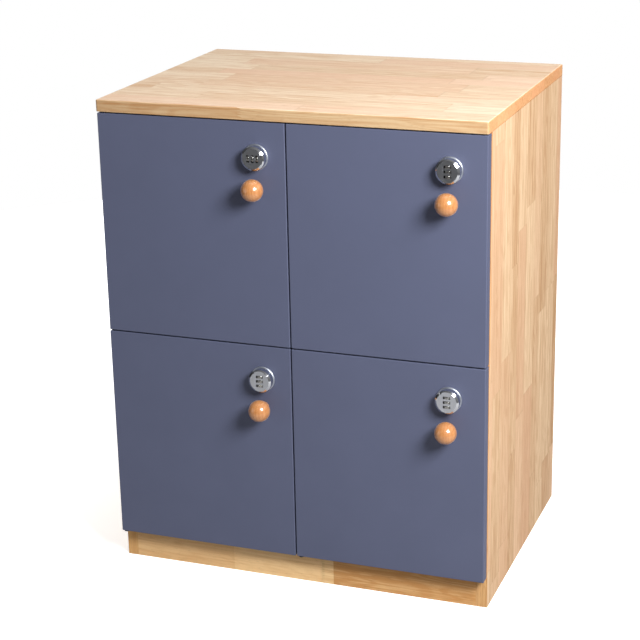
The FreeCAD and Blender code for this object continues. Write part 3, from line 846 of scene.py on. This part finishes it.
@dataclass
class CombinationLock:
    """A three-dial cam lock: flange with threaded barrel, nut, turning head, number dials and cam."""

    door: DoorPlace
    shared: Finishes
    flange: float = 3.0 * MM
    barrel_radius: float = 9.5 * MM
    barrel: float = 27.0 * MM
    bore: float = 6.08 * MM
    thread_from: float = 16.0 * MM
    pitch: float = 1.25 * MM
    thread_depth: float = 0.5 * MM
    nut_flats: float = 24.0 * MM
    nut_chamfer: float = 12.9 * MM
    dial_radius: float = 5.2 * MM
    dial_width: float = 3.4 * MM
    dial_bore: float = 1.0 * MM
    digit_height: float = 2.2 * MM
    digit_relief: float = 0.03 * MM
    notch_depth: float = 0.35 * MM
    cam_width: float = 14.0 * MM
    cam_hub: float = 9.0 * MM
    cam_reach: float = 34.0 * MM

    def name(self, part: str) -> str:
        """Joins the door's name and a part's name."""
        return f"{self.door.value}_{part}"

    def axis(self) -> np.ndarray:
        """Finds the point where the lock's axis meets the door's face."""
        low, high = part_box(self.name("lock_body"))
        return np.array([(low.x + high.x) / 2, low.y + self.flange, (low.z + high.z) / 2])

    def body(self) -> None:
        """Turns the flange and barrel. The thread takes a triangle wave of distance over pitch less turn."""
        low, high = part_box(self.name("lock_body"))
        wide = (high.x - low.x) / 2
        lip = rounded(
            [(self.bore, -self.flange), (wide - 1.0 * MM, -self.flange), (wide, -self.flange * 0.55),
             (wide, 0.0), (self.barrel_radius, 0.0), (self.barrel_radius, self.thread_from)], 0.7 * MM)
        rows = np.linspace(self.thread_from, self.barrel, 80)[1:]
        thread = np.stack([np.full(rows.shape, self.barrel_radius), rows], axis=1)
        end = np.array([(self.bore, self.barrel), (self.bore, -self.flange)])
        profile = np.vstack([lip, thread, end])
        steps = 96
        turn = np.arange(steps)[None, :] / steps
        along = profile[:, 1:]
        wave = abs(((along / self.pitch - turn) % 1.0) * 2.0 - 1.0)
        cut = (along > self.thread_from) & (profile[:, :1] > self.bore + MM)
        ripple = -self.thread_depth * wave * cut
        made = piece(self.name("flange_and_barrel"), [turned(profile, self.axis(), BACK, steps, ripple)],
                     self.shared.chrome, 40.0)
        fit(made, self.name("door"), "lock_chrome", self.name("lock_body"))

    def nut(self) -> None:
        """Makes the nut: its radius is the hexagon's, or the chamfer's where that is less."""
        low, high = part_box(self.name("lock_nut"))
        thick = high.y - low.y
        steps = 120
        angle = np.arange(steps) * 2.0 * np.pi / steps
        hexagon = self.nut_flats / 2 / np.cos((angle + np.pi / 6) % (np.pi / 3) - np.pi / 6)
        along = np.array([0.0, 0.0, 0.3, 0.6, 1.0, 1.4, 2.6, 3.0, 3.4, 3.7, 4.0, 4.0]) / 4.0 * thick
        limit = self.nut_chamfer + np.minimum(along, thick - along) * 1.6
        inner = self.barrel_radius + 0.02 * MM
        radius = np.minimum(hexagon[None, :], limit[:, None])
        radius[0] = radius[-1] = inner
        profile = np.stack([np.zeros_like(along), along], axis=1)
        start = np.array([(low.x + high.x) / 2, low.y, (low.z + high.z) / 2])
        grid = turned(profile, start, BACK, steps, radius)
        grid.wrap_rows = True
        fit(piece(self.name("hexagon_nut"), [grid], self.shared.zinc, 24.0), self.name("door"), "zinc_steel",
            self.name("lock_nut"))

    def digit(self, number: int) -> tuple[np.ndarray, list[list[int]]]:
        """Makes a plain numeral, centred, flat and a little thick.

        Args:
            number: From 0 to 9.

        Returns:
            Its points and its faces.
        """
        script = bpy.data.curves.new("numeral", "FONT")
        script.body = str(number)
        script.extrude = 0.02
        script.resolution_u = 3
        holder = bpy.data.objects.new("numeral", script)
        mesh = bpy.data.meshes.new_from_object(holder)
        points = np.zeros(len(mesh.vertices) * 3)
        mesh.vertices.foreach_get("co", points)
        points = points.reshape(-1, 3)
        faces = [list(p.vertices) for p in mesh.polygons]
        low, high = points.min(0), points.max(0)
        points[:, :2] = (points[:, :2] - (low + high)[:2] / 2) * self.digit_height / (high[1] - low[1])
        points[:, 2] = np.sign(points[:, 2]) * self.digit_relief
        bpy.data.objects.remove(holder)
        bpy.data.meshes.remove(mesh)
        return points, faces

    def dials(self) -> None:
        """Makes the dials: a wheel with ten thumb notches, and numerals bent round its rim.

        A numeral's width becomes an angle, width over radius, and its thickness is added to the radius.
        """
        numerals = [self.digit(n) for n in range(10)]
        steps = 200
        turn = np.arange(steps)[None, :] * 10 / steps
        notch = np.exp(-(((turn % 1.0) - 0.5) / 0.1) ** 2)
        for number in (1, 2, 3):
            node = self.name(f"dial_{number}")
            low, high = (np.array(c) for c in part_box(node))
            middle, size = (low + high) / 2, high - low
            along = np.array([-1.0, 0.0, 0.0]) if size[0] < size[2] else np.array([0.0, 0.0, 1.0])
            half = self.dial_width / 2
            rim = rounded([(self.dial_bore, -half), (self.dial_radius, -half), (self.dial_radius, half),
                           (self.dial_bore, half)], 0.35 * MM)
            ripple = -self.notch_depth * notch * (rim[:, :1] > self.dial_radius - 0.5 * MM)
            wheel = turned(rim, middle, along, steps, ripple)
            wheel.wrap_rows = True
            made = piece(self.name(f"dial_{number}_wheel"), [wheel], self.shared.nickel, 35.0)
            fit(made, node, "dial_metal", node)
            across = frame_of(along)
            points, faces = [], []
            for value, (shape, sides) in enumerate(numerals):
                angle = shape[:, 0] / self.dial_radius + value * np.pi / 5
                reach = (self.dial_radius + shape[:, 2])[:, None]
                ring = np.cos(angle)[:, None] * across[0] + np.sin(angle)[:, None] * across[1]
                first = sum(len(p) for p in points)
                points.append(middle + reach * ring + shape[:, 1:2] * along)
                faces += [[first + c for c in side] for side in sides]
            mesh = bpy.data.meshes.new(self.name(f"dial_{number}_numbers"))
            mesh.from_pydata(np.vstack(points).tolist(), [], faces)
            mesh.materials.append(self.shared.enamel)
            made = bpy.data.objects.new(mesh.name, mesh)
            bpy.context.scene.collection.objects.link(made)
            fit(made, node, "dial_metal")

    def cam(self) -> None:
        """Stamps the cam: an outline round the hub, with the plate's edges broken by a third of a millimetre.

        From the hub the outline is the far side of the tip's circle within the arm's angle, then the arm's
        half width over the sine, and never less than the hub's radius.
        """
        low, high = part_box(self.name("lock_cam"))
        x, y, z = self.axis()
        start = y + self.barrel + 0.2 * MM
        half, far = self.cam_width / 2, self.cam_reach - self.cam_width / 2
        edge = math.asin(half / math.hypot(half, far))
        wide = 1.2
        angle = np.concatenate([np.linspace(-edge, edge, 25), np.linspace(edge, wide, 20)[1:],
                                np.linspace(wide, 2 * np.pi - wide, 40)[1:-1],
                                np.linspace(-wide, -edge, 20)[:-1]])
        side = np.sin(angle)
        tip = far * np.cos(angle) + np.sqrt(np.maximum(half**2 - (far * side) ** 2, 0.0))
        arm = np.where(abs(angle) <= edge, tip, half / np.maximum(abs(side), 1e-6))
        reach = np.where(np.cos(angle) > 0, np.maximum(arm, self.cam_hub), self.cam_hub)
        thick, broken = 2.0 * MM, 0.35 * MM
        inset = np.array([1.0, 0.0, 0.0, 0.0, 0.0, 1.0]) * broken
        depth = np.array([0.0, broken, 0.8 * MM, 1.2 * MM, thick - broken, thick])
        rows = [np.zeros((1, len(angle)))] + [reach[None, :] - i for i in inset] + [np.zeros((1, len(angle)))]
        radius = np.vstack(rows)
        level = np.concatenate([[0.0], depth, [thick]])
        grid = np.stack([x + radius * np.sin(angle), np.broadcast_to(start + level[:, None], radius.shape),
                         z + radius * np.cos(angle)], axis=-1)
        screw = CrossScrew(5.5 * MM, 2.6 * MM, 1.95 * MM, 11.0 * MM, recess=1.5 * MM, arm=0.7 * MM)
        head = np.array([x, high.y, z])
        parts = [Patch(grid), screw.patches(head, -BACK)[0]]
        rest = high.y - start - thick
        outline = rounded([(screw.head, 0.0), (screw.head, rest), (screw.shank, rest),
                           (screw.shank, screw.length - MM)], 0.5 * MM)
        parts.append(turned(np.vstack([outline, [(0.0, screw.length)]]), head, -BACK, 48))
        made = piece(self.name("cam_and_screw"), parts, self.shared.zinc, 24.0)
        fit(made, self.name("lock_rotor"), "zinc_steel", self.name("lock_cam"))

    def build(self) -> None:
        """Builds every part of the lock. The head keeps its shape."""
        self.body()
        self.nut()
        self.dials()
        self.cam()
        low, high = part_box(self.name("lock_head"))
        face = ((low.x + high.x) / 2, low.y, (low.z + high.z) / 2)
        coat(self.name("lock_head"), LockHeadPlate(face).make())


@dataclass
class Door:
    """A painted overlay door with its bushes, its knob and its lock."""

    place: DoorPlace
    shared: Finishes

    def build(self) -> None:
        """Dresses the panel and bushes, and adds the knob and the lock."""
        coat(f"{self.place.value}_door_panel", self.shared.paint)
        coat(f"{self.place.value}_pivot_bushes", self.shared.nylon)
        BallKnob(self.place, self.shared).build()
        CombinationLock(self.place, self.shared).build()


@dataclass
class Studio:
    """The pale floor, the soft lights and the camera round the cabinet."""

    floor_radius: float = 2.3
    aim: tuple[float, float, float] = (0.0, 0.0, 0.4)
    lens: float = 97.57
    camera_place: tuple[float, float, float] = (0.898, -2.482, 1.252)
    yaw: float = -0.3602
    pitch: float = 0.3246
    roll: float = -0.0208

    def floor(self) -> None:
        """Lays a round floor: distance from the middle along one direction, the turn along the other.

        What is seen of it runs into white away from the cabinet. What it throws back is a pale sweep near the
        cabinet and an unlit room farther off.
        """
        finish, shader = surface("matt_floor", {"Base Color": linear("#F2F2F2"), "Roughness": 0.9})
        tree = finish.node_tree
        place = add(tree, "TexCoord", {}, "Object")
        away = add(tree, "VectorMath", {0: place}, "Value", operation="LENGTH")
        glow = add(tree, "MapRange", {"Value": away, 1: 0.3, 2: 1.0, 3: 0.45, 4: 1.0})
        shader.inputs["Emission Color"].default_value = (1.0, 1.0, 1.0, 1.0)
        feed(shader, {"Emission Strength": glow})
        pale = add(tree, "MapRange", {"Value": away, 1: 1.3, 2: 2.0, 3: 0.42, 4: 0.04})
        dull = add(tree, "BsdfDiffuse", {"Color": pale})
        seen = add(tree, "LightPath", {}, "Is Camera Ray")
        both = add(tree, "MixShader", {0: seen, 1: dull, 2: shader.outputs[0]})
        add(tree, "OutputMaterial", {"Surface": both}, is_active_output=True)
        profile = np.array([(0.0, 0.0), (0.6, 0.0), (self.floor_radius, 0.0)])
        disc = piece("floor", [turned(profile, np.zeros(3), np.array([0.0, 0.0, 1.0]), 96)], finish)

    def light(self, name: str, place: tuple[float, float, float], size: float, power: float) -> None:
        """Hangs one square soft light that faces the cabinet.

        Args:
            name: The light's name.
            place: Where it hangs.
            size: The length of its side.
            power: What it gives out, in watts.
        """
        lamp = bpy.data.lights.new(name, "AREA")
        lamp.size = size
        lamp.energy = power
        made = bpy.data.objects.new(name, lamp)
        made.location = place
        made.rotation_euler = (Vector(self.aim) - Vector(place)).to_track_quat("-Z", "Y").to_euler()
        bpy.context.scene.collection.objects.link(made)

    def room(self) -> None:
        """Makes the room round the set white where it is seen and darker in front where it is mirrored."""
        world = bpy.data.worlds.new("studio")
        bpy.context.scene.world = world
        world.use_nodes = True
        tree = world.node_tree
        tree.nodes.clear()
        way = add(tree, "TexCoord", {}, "Generated")
        lean = add(tree, "VectorMath", {0: way, 1: (0.62, 0.5, 0.6)}, "Value", operation="DOT_PRODUCT")
        level = add(tree, "MapRange", {"Value": lean, 1: -0.75, 2: 0.8, 3: 0.03, 4: 0.3},
                    interpolation_type="SMOOTHSTEP")
        seen = add(tree, "LightPath", {}, "Is Camera Ray")
        level = add(tree, "Mix", {0: seen, 2: level, 3: 1.0}, 0, data_type="FLOAT")
        sky = add(tree, "Background", {"Color": (1.0, 1.0, 1.0, 1.0), "Strength": level})
        add(tree, "OutputWorld", {"Surface": sky})

    def camera(self) -> None:
        """Points the camera: its level direction from yaw and pitch, then turned about it by roll."""
        ahead = Vector((math.sin(self.yaw) * math.cos(self.pitch), math.cos(self.yaw) * math.cos(self.pitch),
                        -math.sin(self.pitch)))
        right = Vector((math.cos(self.yaw), -math.sin(self.yaw), 0.0))
        up = right.cross(ahead)
        side = right * math.cos(self.roll) + up * math.sin(self.roll)
        top = up * math.cos(self.roll) - right * math.sin(self.roll)
        lens = bpy.data.cameras.new("camera")
        lens.lens = self.lens
        lens.sensor_width = 36.0
        made = bpy.data.objects.new("camera", lens)
        turn = Matrix((side, top, -ahead)).transposed().to_4x4()
        made.matrix_world = Matrix.Translation(self.camera_place) @ turn
        bpy.context.scene.collection.objects.link(made)
        bpy.context.scene.camera = made

    def build(self) -> None:
        """Sets up the whole studio."""
        bpy.context.scene.view_settings.view_transform = "Standard"
        self.floor()
        self.room()
        self.light("key", (1.4, -1.22, 1.55), 0.7, 76.0)
        self.light("fill", (-1.6, -1.4, 0.7), 1.2, 4.0)
        self.light("side", (-2.2, 1.2, 0.8), 1.6, 34.0)
        self.light("overhead", (0.1, 0.2, 2.7), 1.6, 9.0)
        self.camera()


def main() -> None:
    """Builds the sub-assemblies in order and reports each piece."""
    logging.basicConfig(level=logging.INFO, format="%(message)s")
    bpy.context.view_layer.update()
    Studio().build()
    shared = Finishes(
        paint=SprayedPaint().make(),
        knob=VarnishedKnobWood().make(),
        zinc=Plate("bright_zinc_plate", "#B9BBBD", 0.28).make(),
        nickel=Plate("nickel_plated_dial", "#B4B3AF", 0.25).make(),
        enamel=MouldedPlastic("black_number_enamel", "#0B0B0C", 0.4).make(),
        chrome=Plate("satin_chrome_flange", "#C6CBD4", 0.42, 1500.0, 0.04).make(),
        black=Plate("blackened_steel", "#2A2B2D", 0.38).make(),
        nylon=MouldedPlastic("natural_nylon", "#E8E5DC", 0.45).make(),
        silicone=MouldedPlastic("clear_silicone", "#E4E4E2", 0.3, 0.6).make(),
    )
    carcass = Carcass(shared)
    carcass.dress()
    carcass.screws()
    carcass.bumpers()
    for place in DoorPlace:
        Door(place, shared).build()


if __name__ == "__main__":
    main()
